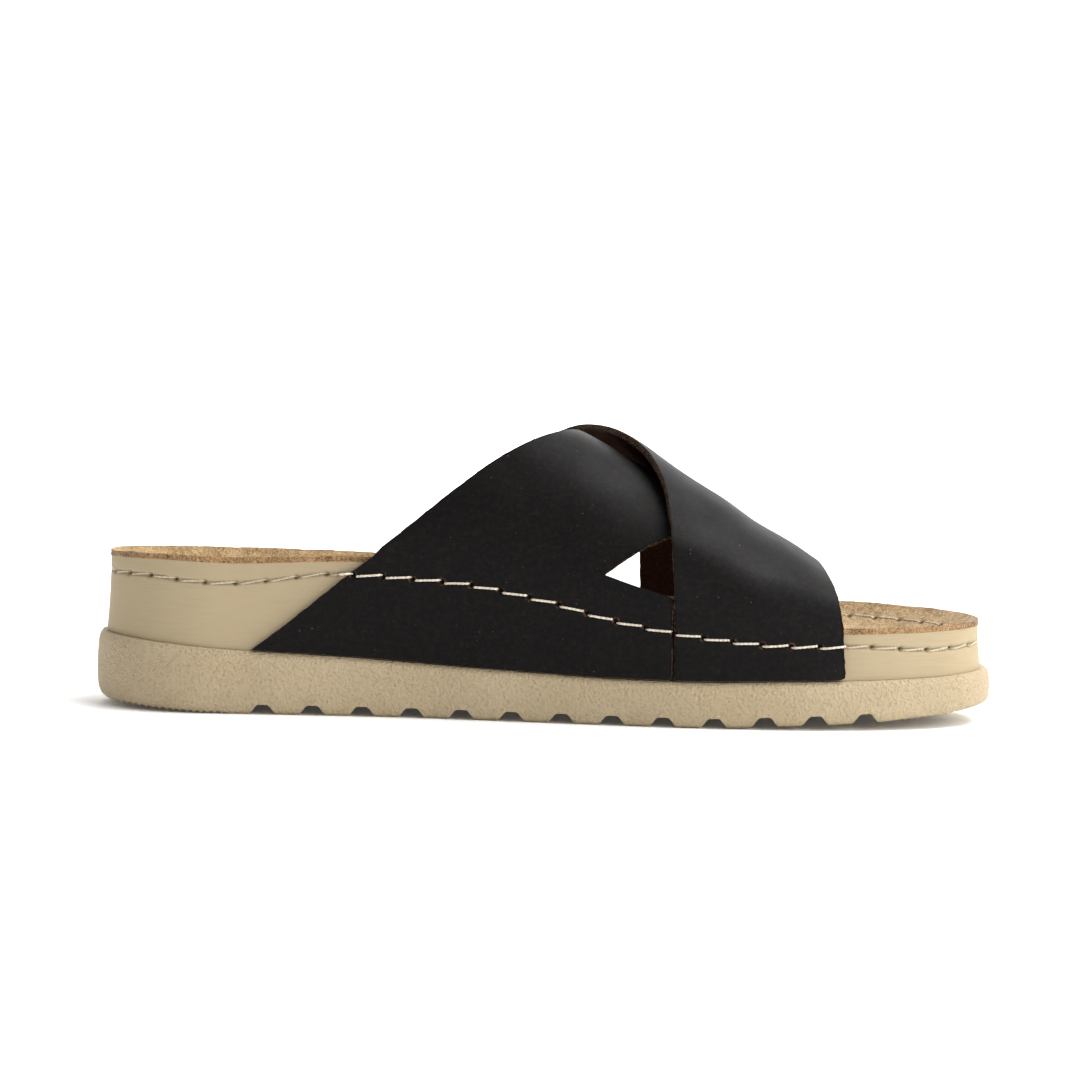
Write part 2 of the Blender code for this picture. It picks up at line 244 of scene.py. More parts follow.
@dataclass
class Last:
    """The sandal's sizes and the smooth surfaces worked out from them, which all pieces are made on."""

    sole_length: float
    ball_width: float = 98 * MM
    heel_height: float = 45.6 * MM
    ledge_height: float = 13.6 * MM
    toe_spring: float = 5 * MM
    instep_height: float = 81.6 * MM
    ridge_shift: float = 9 * MM
    leather: float = 2.0 * MM
    insole: float = 1.7 * MM
    gap: float = 0.3 * MM
    ledge_margin: float = 0.5 * MM
    wall_flare: float = 1.0 * MM
    cup_reach: float = 16 * MM
    cup_power: float = 2.2
    heel_round: float = 0.135
    heel_power: float = 2.0
    toe_round: float = 0.235
    toe_power: float = 2.35
    rim_share: float = 0.15
    arch_power: float = 2.2
    strap_lift: float = 4.1 * MM
    lift_at: float = 24 * MM
    lift_width: float = 17 * MM
    lay_share: float = 0.115
    press: float = 0.2 * MM

    @cached_property
    def wall_inset(self) -> float:
        """Distance from the outsole's widest line to the top of the midsole's wall."""
        return self.ledge_margin + self.leather + self.gap + self.wall_flare

    @cached_property
    def centre_shift(self) -> float:
        """What moves the outline so that its two sides are equally far from y = 0."""
        share = np.linspace(0, 1, 2001)
        return -(self.raw_edge(share, 0, 1).max() + self.raw_edge(share, 0, -1).min()) / 2

    def rounding(self, share: Array) -> Array:
        """How much of the half width is left near the two ends, as a superellipse at each."""
        heel = np.clip(1 - share / self.heel_round, 0, 1)
        toe = np.clip((share - 1 + self.toe_round) / self.toe_round, 0, 1)
        heel_left = (1 - heel**self.heel_power) ** (1 / self.heel_power)
        return heel_left * (1 - toe**self.toe_power) ** (1 / self.toe_power)

    def raw_edge(self, share: Array, inset: Array, side: Array) -> Array:
        """Plan outline before it is centred: the centre line and the rounded half width beside it."""
        half = (self.ball_width * curve(SECTIONS, HALF, share) - inset) * self.rounding(share)
        return self.ball_width * curve(SECTIONS, MIDDLE, share) + side * half

    def edge_y(self, share: Array, inset: Array, side: Array) -> Array:
        """Plan outline: side -1 is the inner side of the foot, +1 the outer side."""
        return self.raw_edge(share, inset, side) + self.centre_shift

    def along_x(self, share: Array, inset: Array) -> Array:
        """Place along the sole of a share of an outline's length."""
        return -self.sole_length / 2 + inset + share * (self.sole_length - 2 * inset)

    def share_at(self, x: Array, inset: Array) -> Array:
        """Share of an outline's length at a place along the sole."""
        return np.clip((x + self.sole_length / 2 - inset) / (self.sole_length - 2 * inset), 0, 1)

    def tread_z(self, share: Array) -> Array:
        """Underside of the outsole between its grooves."""
        return self.toe_spring * curve(SECTIONS, TREAD, share)

    def ledge_z(self, share: Array) -> Array:
        """Top of the outsole."""
        return self.ledge_height * curve(SECTIONS, LEDGE, share)

    def rim_z(self, share: Array, side: Array) -> Array:
        """Top edge of the insole on either side."""
        inner, outer = curve(SECTIONS, RIM_IN, share), curve(SECTIONS, RIM_OUT, share)
        return self.heel_height * np.where(np.asarray(side) < 0, inner, outer)

    def floor_z(self, share: Array) -> Array:
        """Footbed between its cupped edges."""
        return self.heel_height * curve(SECTIONS, FLOOR, share)

    def flared(self, rise: Array) -> Array:
        """Inset of the midsole's wall at a share of its height: it flares towards its foot."""
        return self.wall_inset - self.wall_flare * (1 - rise) ** 2

    def cup_left(self, reach: Array) -> Array:
        """Share of the cupped edge that is still ahead at a distance in from the wall."""
        return 1 - np.minimum(reach / self.cup_reach, 1)

    def cup_z(self, share: Array, reach: Array, side: Array) -> Array:
        """Top of the insole: it falls from the rim to the footbed by a power of the way left."""
        floor = self.floor_z(share)
        return floor + (self.rim_z(share, side) - floor) * self.cup_left(reach) ** self.cup_power

    def cup_slope(self, share: Array, reach: Array, side: Array) -> Array:
        """Fall of the insole's top for each unit of run."""
        depth = self.rim_z(share, side) - self.floor_z(share)
        return depth * self.cup_power * self.cup_left(reach) ** (self.cup_power - 1) / self.cup_reach

    def vault(self, x: Array, over: Array) -> Array:
        """Inner surface of the straps: up each wall, then a superellipse from rim to ridge.

        Args:
            x: places along the sole.
            over: the way over the foot, from 0 to 1.

        Returns:
            Points, with a last axis of three.
        """
        side = np.where(over < 0.5, -1, 1)
        way = np.minimum(over, 1 - over)
        rise = np.clip(way / self.rim_share, 0, 1)
        inset = self.flared(rise) - self.gap
        share = self.share_at(x, inset)
        y_wall = self.edge_y(share, inset, side)
        rim = self.rim_z(share, side)
        foot = self.ledge_z(share) + self.gap
        sides = self.edge_y(share, self.wall_inset, -1) + self.edge_y(share, self.wall_inset, 1)
        y_ridge = sides / 2 - self.ridge_shift
        z_ridge = self.instep_height * curve(RIDGE, 1, x / self.sole_length + 0.5)
        angle = np.clip((way - self.rim_share) / (0.5 - self.rim_share), 0, 1) * np.pi / 2
        y_arch = y_ridge + side * np.abs(y_wall - y_ridge) * np.cos(angle) ** (2 / self.arch_power)
        z_arch = rim + (z_ridge - rim) * np.sin(angle) ** (2 / self.arch_power)
        on_wall = way < self.rim_share
        z = np.where(on_wall, foot + rise * (rim - foot), z_arch)
        return np.stack([x, np.where(on_wall, y_wall, y_arch), z], axis=-1)

    def vault_normal(self, x: Array, over: Array) -> Array:
        """Outward direction of the vault, from small steps along it and over it."""
        dx, dv = 0.5 * MM, 0.004
        along = self.vault(x + dx, over) - self.vault(x - dx, over)
        across = self.vault(x, np.clip(over + dv, 0, 1)) - self.vault(x, np.clip(over - dv, 0, 1))
        return unit(np.cross(along, across))

    def lift(self, x: Array, over: Array) -> Array:
        """How far the upper strap lies off the vault: on the lower strap, and more at its rear edge."""
        lay = smooth((np.minimum(over, 1 - over) - self.rim_share) / self.lay_share)
        return lay * (self.leather - self.press + self.strap_lift * bell(x - self.lift_at, self.lift_width))

    def under_cup(self, share: Array, reach: float, side: Array, depth: float) -> Array:
        """Height of a surface that lies some depth under the insole's top, measured square to it."""
        return self.cup_z(share, reach, side) - depth * np.sqrt(1 + self.cup_slope(share, reach, side) ** 2)

    def ring(self, share: Array, side: Array, inset: Array, z: Array) -> Array:
        """Points at given heights on the outline that lies an inset in from the widest line."""
        return np.stack([self.along_x(share, inset), self.edge_y(share, inset, side), z], axis=-1)


def spaced(count: int) -> Array:
    """Shares from 0 to 1 that crowd at both ends, as the shadow of a turning radius does."""
    return (1 - np.cos(np.pi * np.linspace(0, 1, count))) / 2


def around(stations: int) -> tuple[Array, Array]:
    """Share and side at every point of a closed ring, up the inner side and back down the outer one."""
    shares = spaced(stations)
    share = np.concatenate([shares, shares[-2:0:-1]])
    return share, np.where(np.arange(len(share)) < stations, -1, 1)


def outward_of(points: Array) -> Array:
    """Level directions that point out of a ring at each of its points."""
    return unit(np.cross(np.gradient(points, axis=0), (0, 0, 1)))


def ring_quads(rows: int, columns: int, first: int = 0) -> Array:
    """Quads between rings stored one after another, facing out where the rings go up."""
    row, column = np.meshgrid(np.arange(rows - 1), np.arange(columns), indexing="ij")
    low, following = first + row * columns, (column + 1) % columns
    corners = [low + column, low + following, low + columns + following, low + columns + column]
    return np.stack(corners, axis=-1).reshape(-1, 4)


def ladder(stations: int, first: int, rungs: Array | None = None) -> tuple[Array, Array]:
    """Faces that fill a ring from side to side, facing up.

    Args:
        stations: stations on one side of the ring.
        first: the ring's first vertex.
        rungs: vertices between the two sides, a row for each station but the two end ones, or None.

    Returns:
        The quads, and the triangles at the two ends.
    """
    inner = np.arange(1, stations - 1)
    outer = 2 * (stations - 1) - inner
    parts = [first + inner[:, None], first + outer[:, None]]
    if rungs is not None:
        parts.insert(1, rungs)
    grid = np.concatenate(parts, axis=1)
    quads = np.stack([grid[:-1, :-1], grid[1:, :-1], grid[1:, 1:], grid[:-1, 1:]], axis=-1)
    heel = np.stack([np.full(grid.shape[1] - 1, first), grid[0, :-1], grid[0, 1:]], axis=-1)
    tip = np.full(grid.shape[1] - 1, first + stations - 1)
    toe = np.stack([grid[-1, :-1], tip, grid[-1, 1:]], axis=-1)
    return quads.reshape(-1, 4), np.concatenate([heel, toe])


def shell(stations: int, rings: int, rungs: Array | None = None) -> list[Array]:
    """Faces of a solid made of rings: its side, its top and its underside.

    Args:
        stations: stations on one side of each ring.
        rings: rings from the underside to the top.
        rungs: vertices between the two sides of the top ring, or None.

    Returns:
        The side's quads, then quads and end triangles of the top and of the underside.
    """
    count = 2 * (stations - 1)
    top, bottom = ladder(stations, (rings - 1) * count, rungs), ladder(stations, 0)
    return [ring_quads(rings, count), *top, *(part[:, ::-1] for part in bottom)]


def added(name: str, data: Any) -> Object:
    """A new object in the scene, at the origin."""
    made = bpy.data.objects.new(name, data)
    bpy.context.scene.collection.objects.link(made)
    return made


@dataclass
class Shape:
    """A piece's points and faces while it is worked out, with marks for its points.

    The first groups of faces can have finish numbers; all that follow have the first finish.
    """

    points: Array
    faces: list[Array]
    finish_of: list[Array] = field(default_factory=list)
    marks: dict[str, Array] = field(default_factory=dict)

    def piece(self, name: str, materials: Sequence[Material], sharp: float = 0.6) -> Object:
        """Put the shape into a mesh object at the origin.

        Args:
            name: the object's name.
            materials: its finishes, in the order of their numbers.
            sharp: angle in radians past which an edge is shaded as a crease.

        Returns:
            The new object, which rides on the sandal's body.
        """
        mesh = bpy.data.meshes.new(name)
        faces = [face for part in self.faces for face in part.tolist()]
        mesh.from_pydata(self.points.reshape(-1, 3).tolist(), [], faces)
        for material in materials:
            mesh.materials.append(material)
        plain = [np.zeros(len(part)) for part in self.faces[len(self.finish_of) :]]
        numbers = np.concatenate([*self.finish_of, *plain])
        mesh.polygons.foreach_set("material_index", numbers.astype(np.int32))
        for mark, values in self.marks.items():
            attribute = mesh.attributes.new(mark, "FLOAT", "POINT")
            attribute.data.foreach_set("value", values.astype(np.float32).ravel())
        mesh.shade_smooth()
        mesh.set_sharp_from_angle(angle=sharp)
        mesh.update()
        made = added(name, mesh)
        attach(made, BODY)
        LOG.info("%s: %d vertices, %d faces", name, len(mesh.vertices), len(mesh.polygons))
        return made


def linear(colour: str) -> tuple[float, float, float, float]:
    """Linear colour of an sRGB hex value, by the standard's straight foot and 2.4 power."""
    parts = [int(colour[k : k + 2], 16) / 255 for k in (1, 3, 5)]
    red, green, blue = (p / 12.92 if p <= 0.04045 else ((p + 0.055) / 1.055) ** 2.4 for p in parts)
    return red, green, blue, 1.0


def per_mm(size: float) -> float:
    """Scale of a pattern whose features are that many millimetres wide."""
    return 1 / (size * MM)


def add_node(
    tree: NodeTree, kind: str, inputs: dict[str | int, Any] | None = None, **settings: Any
) -> Node:
    """Add a node with its settings, and fill its inputs.

    Args:
        tree: the material's nodes.
        kind: Blender's name of the node's type.
        inputs: a value, a socket or a node (its first output) for each input's name or number.
        settings: values for the node's own options.

    Returns:
        The new node.
    """
    node = tree.nodes.new(kind)
    for name, value in settings.items():
        setattr(node, name, value)
    for key, value in (inputs or {}).items():
        if isinstance(value, Node):
            value = value.outputs[0]
        if isinstance(value, NodeSocket):
            tree.links.new(value, node.inputs[key])
        else:
            node.inputs[key].default_value = value
    return node


def blank(name: str) -> tuple[Material, NodeTree, NodeSocket]:
    """A new material, its empty node tree, and the place on the object in metres."""
    material = bpy.data.materials.new(name)
    material.use_nodes = True
    tree = material.node_tree
    tree.nodes.clear()
    return material, tree, add_node(tree, "ShaderNodeTexCoord").outputs["Object"]


def surface(
    tree: NodeTree,
    base: str,
    layers: Sequence[tuple[Any, str]],
    reliefs: Sequence[tuple[Any, float, float]],
    response: dict[str, Any],
) -> None:
    """Lay colours over a base and reliefs over each other, and end the tree with its shader.

    Args:
        tree: the material's nodes.
        base: hex colour underneath.
        layers: for each colour over it, what gives its share, and its hex value.
        reliefs: what gives each one's height, its depth in metres and its strength, the lowest first.
        response: the shader's other inputs.
    """
    colour = linear(base)
    for share, over in layers:
        mix = add_node(tree, "ShaderNodeMix", {0: share, 6: colour, 7: linear(over)}, data_type="RGBA")
        colour = mix.outputs[2]
    inputs = {"Base Color": colour, **response}
    for height, distance, strength in reliefs:
        under = {"Normal": inputs["Normal"]} if "Normal" in inputs else {}
        bump = {"Height": height, "Distance": distance, "Strength": strength, **under}
        inputs["Normal"] = add_node(tree, "ShaderNodeBump", bump)
    shader = add_node(tree, "ShaderNodeBsdfPrincipled", inputs)
    add_node(tree, "ShaderNodeOutputMaterial", {"Surface": shader})


# Types of the nodes that the finishes use most.
NOISE = "ShaderNodeTexNoise"
RANGE = "ShaderNodeMapRange"
MATHS = "ShaderNodeMath"
MARK = "ShaderNodeAttribute"


class FoamTexture(Enum):
    """How a foam's surface was made."""

    PEBBLED = "pressed in a blasted mould"
    GROUND = "ground round the edge with a belt"


@dataclass(frozen=True)
class MouldedFoam:
    """Light sole foam, polyurethane or ethylene-vinyl acetate: matt, slightly soft to the light."""

    name: str
    colour: str
    shade: str
    texture: FoamTexture
    roughness: float
    relief: float
    feature: float
    clouding: float
    pitting: float
    # painted_shade: colour of the painted shade in the stitch holes, the seam's trough and the straps'
    # meeting line
    painted_shade: str = "#2e2118"
    streaks: tuple[float, float, float] = (0.05, 0.05, 1.0)
    grain_share: float = 0.35

    def material(self) -> Material:
        """Cloudy colour, with pebbles or level grinding marks in relief, and painted shade where the hole
        mark lies.
        """
        material, tree, place = blank(self.name)
        if self.texture is FoamTexture.GROUND:
            place = add_node(tree, "ShaderNodeMapping", {"Vector": place, "Scale": self.streaks}).outputs[0]
        cloud = {"Vector": place, "Scale": per_mm(22), "Detail": 4.0, "Roughness": 0.6}
        clouds = add_node(tree, NOISE, cloud)
        coarse = add_node(tree, NOISE, {"Vector": place, "Scale": per_mm(self.feature), "Detail": 2.0})
        fine = add_node(tree, NOISE, {"Vector": place, "Scale": per_mm(self.feature / 3), "Detail": 1.0})
        blotch, pits = (
            add_node(tree, RANGE, {"Value": value, "From Min": start, "From Max": end, "To Max": most})
            for value, start, end, most in (
                (clouds, 0.35, 0.7, self.clouding),
                (coarse, 0.5, 0.3, self.pitting),
            )
        )
        darker = add_node(tree, MATHS, {0: blotch, 1: pits}, operation="ADD", use_clamp=True)
        # The hole mark carries painted shade: dark stitch holes, the seam's trough and the straps' meeting
        # line
        hole = add_node(tree, MARK, attribute_name="hole").outputs["Fac"]
        layers = [(darker, self.shade), (hole, self.painted_shade)]
        reliefs = [(fine, self.relief * self.grain_share, 1.0), (coarse, self.relief, 1.0)]
        surface(tree, self.colour, layers, reliefs, {"Roughness": self.roughness, "Specular IOR Level": 0.3})
        return material


@dataclass(frozen=True)
class SplitLeather:
    """Vegetable-tanned split leather: a short nap that scatters light, and a rough fibrous cut edge."""

    name: str
    colour: str
    shade: str
    nap: float
    relief: float
    # depth: dark brown painted shade in the stitch holes
    depth: str = "#35241a"

    def material(self) -> Material:
        """Fine nap in colour and relief, over faint clouds of tone from the tanning, and painted shade in the
        stitch holes.
        """
        material, tree, place = blank(self.name)
        cloud = {"Vector": place, "Scale": per_mm(9), "Detail": 3.0, "Roughness": 0.6}
        clouds = add_node(tree, NOISE, cloud)
        hair = {"Vector": place, "Scale": per_mm(self.nap), "Detail": 4.0, "Roughness": 0.7}
        nap = add_node(tree, NOISE, {**hair, "Distortion": 1.5})
        both = add_node(tree, MATHS, {0: clouds, 1: 0.3, 2: nap}, operation="MULTIPLY_ADD")
        share = add_node(tree, RANGE, {"Value": both, "From Min": 0.78, "From Max": 0.52})
        hole = add_node(tree, MARK, attribute_name="hole").outputs["Fac"]
        sheen = {"Sheen Weight": 0.15, "Sheen Roughness": 0.5}
        response = {"Roughness": 0.9, "Specular IOR Level": 0.2, **sheen}
        layers = [(share, self.shade), (hole, self.depth)]
        surface(tree, self.colour, layers, [(nap, self.relief, 1.0)], response)
        return material


@dataclass(frozen=True)
class OiledLeather:
    """Full-grain cowhide, drum dyed and oiled: deep black with a soft broad shine, fine pores and scuffs."""

    name: str = "oiled_grain_leather"
    colour: str = "#0b0a0a"
    scuff: str = "#1e1713"
    burr: str = "#5a3d2c"
    speck: str = "#6f6258"
    # depth: near-black painted shade inside the stitch holes
    depth: str = "#030202"
    pore: float = 0.55
    relief: float = 0.05 * MM
    specular: float = 0.11

    def material(self) -> Material:
        """Pores and pebbles in relief, rubbed streaks in colour, a shine that varies with the oil, and
        painted shade in the stitch holes.
        """
        material, tree, place = blank(self.name)
        pore = {"Vector": place, "Scale": per_mm(self.pore)}
        grain = add_node(tree, "ShaderNodeTexVoronoi", pore, feature="DISTANCE_TO_EDGE")
        stretch = {"Vector": place, "Rotation": (0.0, 0.5, 0.0), "Scale": (0.09, 1.0, 1.0)}
        stretched = add_node(tree, "ShaderNodeMapping", stretch)
        oil, fine, streaks, dust = (
            add_node(tree, NOISE, {"Vector": at, "Scale": per_mm(size), "Detail": detail, "Roughness": rough})
            for at, size, detail, rough in (
                (place, 14, 4.0, 0.6),
                (place, 1.4, 5.0, 0.65),
                (stretched, 0.8, 2.0, 0.5),
                (place, 0.6, 0.0, 0.5),
            )
        )
        # The hole mark gives real brown frayed fibres round each stitch hole, and painted shade inside the
        # hole
        hole = add_node(tree, MARK, attribute_name="hole").outputs["Fac"]
        gloss, scuffs, worn, specks, fray, fibre, depth = (
            add_node(tree, RANGE, {"Value": value, "From Min": a, "From Max": b, "To Min": c, "To Max": d})
            for value, a, b, c, d in (
                (oil, 0.3, 0.7, 0.5, 0.62),
                (streaks, 0.62, 0.8, 0.0, 0.6),
                (fine, 0.45, 0.72, 0.0, 0.6),
                (dust, 0.84, 0.9, 0.0, 0.5),
                (hole, 0.03, 0.2, 0.0, 1.0),
                (fine, 0.5, 0.6, 0.0, 1.0),
                (hole, 0.35, 0.6, 0.0, 1.0),
            )
        )
        rubbed = add_node(tree, MATHS, {0: scuffs, 1: worn}, operation="ADD", use_clamp=True)
        burr = add_node(tree, MATHS, {0: fray, 1: fibre}, operation="MULTIPLY")
        layers = [(rubbed, self.scuff), (specks, self.speck), (burr, self.burr), (depth, self.depth)]
        reliefs = [(grain, self.relief * 1.5, 0.5), (fine, self.relief, 1.0)]
        response = {"Roughness": gloss, "Specular IOR Level": self.specular}
        surface(tree, self.colour, layers, reliefs, response)
        return material


@dataclass(frozen=True)
class CutLeather:
    """Bare fibres of dyed leather, where it is cut or on its flesh side: matt, brown and uneven."""

    name: str
    colour: str
    fleck: str
    fibre: float = 0.35
    relief: float = 0.15 * MM

    def material(self) -> Material:
        """Flecks of lighter fibre over the dyed core, rough to the light."""
        material, tree, place = blank(self.name)
        strand = {"Vector": place, "Scale": per_mm(self.fibre), "Detail": 3.0, "Roughness": 0.7}
        fibres = add_node(tree, NOISE, strand)
        share = add_node(tree, RANGE, {"Value": fibres, "From Min": 0.52, "From Max": 0.66})
        response = {"Roughness": 0.9, "Specular IOR Level": 0.15}
        surface(tree, self.colour, [(share, self.fleck)], [(fibres, self.relief, 1.0)], response)
        return material


@dataclass(frozen=True)
class WaxedThread:
    """Two-ply waxed polyester thread: cream, smooth, with a low satin shine."""

    name: str = "waxed_polyester_thread"
    colour: str = "#e6ddcf"
    shade: str = "#b3a488"
    relief: float = 0.05 * MM

    def material(self) -> Material:
        """Fine filaments, darker in the low places of their relief, and duller and darker where the thread
        lies on bare foam.
        """
        material, tree, place = blank(self.name)
        filament = add_node(tree, NOISE, {"Vector": place, "Scale": per_mm(0.4), "Detail": 3.0})
        share = add_node(tree, RANGE, {"Value": filament, "From Min": 0.6, "From Max": 0.35})
        # The worn mark: how much duller and darker the thread is, most where it lies on bare foam
        worn = add_node(tree, MARK, attribute_name="worn").outputs["Fac"]
        sum_of = {0: worn, 1: 0.6, 2: share}
        dull = add_node(tree, MATHS, sum_of, operation="MULTIPLY_ADD", use_clamp=True)
        response = {"Roughness": 0.55, "Specular IOR Level": 0.4}
        surface(tree, self.colour, [(dull, self.shade)], [(filament, self.relief, 1.0)], response)
        return material


@dataclass
class Seam:
    """The stitching round the sole: its line, its holes, and its thread outside and inside.

    shown: share of a step that a stitch takes up. lay: length of one turn of the twist. proud: how far the
    tube's middle stands out, as a share of its radius. plies: share of the radius that swells and shrinks.
    bare_dulling: how much duller and darker the thread on the insole is, where 1 is the thread on the
    midsole's wall.
    ends_at: the rings at which a stitch comes out of its hole and goes in again.
    """

    last: Last
    straps: Sequence[Array]
    thread: WaxedThread = field(default_factory=WaxedThread)
    inner_drop: float = 3.8 * MM
    pitch: float = 8.85 * MM
    anchors: tuple[float, ...] = (-53.7 * MM, 37.0 * MM, 85.7 * MM)
    bed: float = 0.6 * MM
    radius: float = 0.38 * MM
    slant: float = 0.8 * MM
    shown: float = 0.84
    lay: float = 2.4 * MM
    dip: float = 1.2 * MM
    dip_power: int = 9
    proud: float = 0.7
    plies: float = 0.18
    bare_dulling: float = 0.5
    places: int = 1600
    rings: int = 30
    ends_at: tuple[int, int] = (2, -3)
    sides: int = 10

    @cached_property
    def line(self) -> tuple[Array, Array, Array]:
        """Length run, share and side of closely spaced places all the way round."""
        shares = spaced(self.places)
        share = np.concatenate([shares, shares[::-1]])
        side = np.repeat([-1, 1], len(shares))
        points = self.outer(share, side, np.zeros(len(share)))
        step = np.linalg.norm(np.diff(points, axis=0), axis=1)
        return np.concatenate([[0], np.cumsum(step)]), share, side

    @cached_property
    def run(self) -> Array:
        """Length run at every hole: even between the inner side's anchors, and on round the toe and heel."""
        length, share, side = self.line
        x = self.last.along_x(share, self.last.wall_inset)
        start = np.interp(self.anchors, x[side < 0], length[side < 0])
        bounds = np.append(start, start[0] + length[-1])
        counts = np.round(np.diff(bounds) / self.pitch).astype(int)
        parts = [np.linspace(a, b, n, endpoint=False) for a, b, n in zip(bounds, bounds[1:], counts)]
        return np.concatenate(parts)

    @property
    def step(self) -> Array:
        """Length from each hole to the next one."""
        return np.diff(np.append(self.run, self.run[0] + self.line[0][-1]))

    @property
    def strap_top(self) -> float:
        """How far the straps' grain side lies out from the midsole's wall."""
        return self.last.gap + self.last.leather

    def drop(self, share: Array) -> Array:
        """Height of the seam below the rim."""
        return MM * curve(SEAM_DROP, 1, share)

    def rise(self, share: Array, side: Array) -> Array:
        """The seam's share of the wall's height."""
        foot = self.last.ledge_z(share) + self.last.gap
        rim = self.last.rim_z(share, side)
        return (rim - self.drop(share) - foot) / (rim - foot)

    def outer(self, share: Array, side: Array, out: Array) -> Array:
        """Points at the seam's height, a distance out from the midsole's wall."""
        inset = self.last.flared(self.rise(share, side)) - out
        return self.last.ring(share, side, inset, self.last.rim_z(share, side) - self.drop(share))

    def inner(self, share: Array, side: Array, out: Array) -> Array:
        """Points on the insole's cupped edge, a distance up from its surface."""
        last = self.last
        depth = last.rim_z(share, side) - last.floor_z(share)
        reach = last.cup_reach * (1 - (1 - self.inner_drop / depth) ** (1 / last.cup_power))
        slope = last.cup_slope(share, reach, side)
        steep = np.sqrt(1 + slope**2)
        inset = last.wall_inset + reach + out * slope / steep
        return last.ring(share, side, inset, last.cup_z(share, reach, side) + out / steep)

    def where(self, length: Array) -> tuple[Array, Array]:
        """Share and side at a length run."""
        total, share, side = self.line
        length = length % total[-1]
        return np.interp(length, total, share), np.where(length < total[len(total) // 2], -1, 1)

    def cover(self, share: Array, side: Array) -> Array:
        """How far out from the midsole the outer surface is: a strap's leather, or nothing."""
        way = self.rise(share, side) * self.last.rim_share
        over = np.where(side < 0, way, 1 - way)
        along = self.last.along_x(share, self.last.wall_inset) / self.last.sole_length + 0.5
        covered = np.zeros(np.shape(share), bool)
        for table in self.straps:
            rear, front = (np.interp(over, table[:, OVER], table[:, k]) for k in (REAR, FRONT))
            covered |= (along > rear) & (along < front)
        return np.where(covered, self.strap_top, 0)

    def holes(self) -> Array:
        """Where the thread goes in, on the outer surface."""
        share, side = self.where(self.run)
        return self.outer(share, side, self.cover(share, side))

    def inner_holes(self) -> Array:
        """Where the thread comes out on the insole."""
        share, side = self.where(self.run)
        return self.inner(share, side, np.zeros(len(share)))

    def stitches(self, place: Callable[..., Array], cover: bool, slant: float) -> Shape:
        """Every stitch as a twisted two-ply tube that rises from one hole and dives into the next.

        The tube's radius swings twice round each turn of the twist; its middle follows the seam's line,
        tilted by the slant, and its ends dip under the surface by a high power of the way from the middle.

        Args:
            place: gives points for shares, sides and a distance out.
            cover: whether the straps' leather lies between.
            slant: how much higher a stitch ends than it starts, against the line.

        Returns:
            The stitches as one shape.
        """
        t = np.linspace(0, 1, self.rings)
        margin = (1 - self.shown) / 2
        length = self.run[:, None] + self.step[:, None] * (margin + self.shown * t)
        share, side = self.where(length)
        out = np.zeros_like(share)
        bare = np.full_like(share, self.bare_dulling)
        if cover:
            ends = self.cover(share, side)[:, list(self.ends_at)]
            out = ends[:, :1] + smooth(t * 3 - 1) * (ends[:, 1:] - ends[:, :1])
            bare = 1 - out / self.strap_top
        sunk = self.dip * np.abs(2 * t - 1) ** self.dip_power + self.bed * bare
        centre = place(share, side, out + self.radius * self.proud - sunk)
        centre[..., 2] += slant * (t - 0.5)
        outward = unit(place(share, side, out + MM) - place(share, side, out))
        along = unit(np.gradient(centre, axis=1))
        across = unit(np.cross(along, outward))
        outward = np.cross(across, along)
        angle = np.linspace(0, 2 * np.pi, self.sides, endpoint=False)
        twist = 2 * np.pi * self.step[:, None] * self.shown * t / self.lay
        swell = self.radius * (1 - self.plies + self.plies * np.cos(2 * (angle - twist[..., None])))
        spokes = np.cos(angle)[:, None] * outward[:, :, None] + np.sin(angle)[:, None] * across[:, :, None]
        points = centre[:, :, None] + swell[..., None] * spokes
        each = self.rings * self.sides
        starts = np.arange(len(self.run)) * each
        quads = (ring_quads(self.rings, self.sides)[None] + starts[:, None, None]).reshape(-1, 4)
        first = starts[:, None] + np.arange(self.sides)
        caps = np.concatenate([first[:, ::-1], first + each - self.sides])
        return Shape(points, [quads, caps], marks={"worn": np.repeat(bare[..., None], self.sides, axis=-1)})

    def build(self) -> None:
        """The thread outside on wall and straps, and inside on the insole."""
        material = self.thread.material()
        outside = self.stitches(self.outer, True, self.slant).piece("wall_stitching", [material], sharp=1.2)
        inside = self.stitches(self.inner, False, 0).piece("insole_stitching", [material], sharp=1.2)


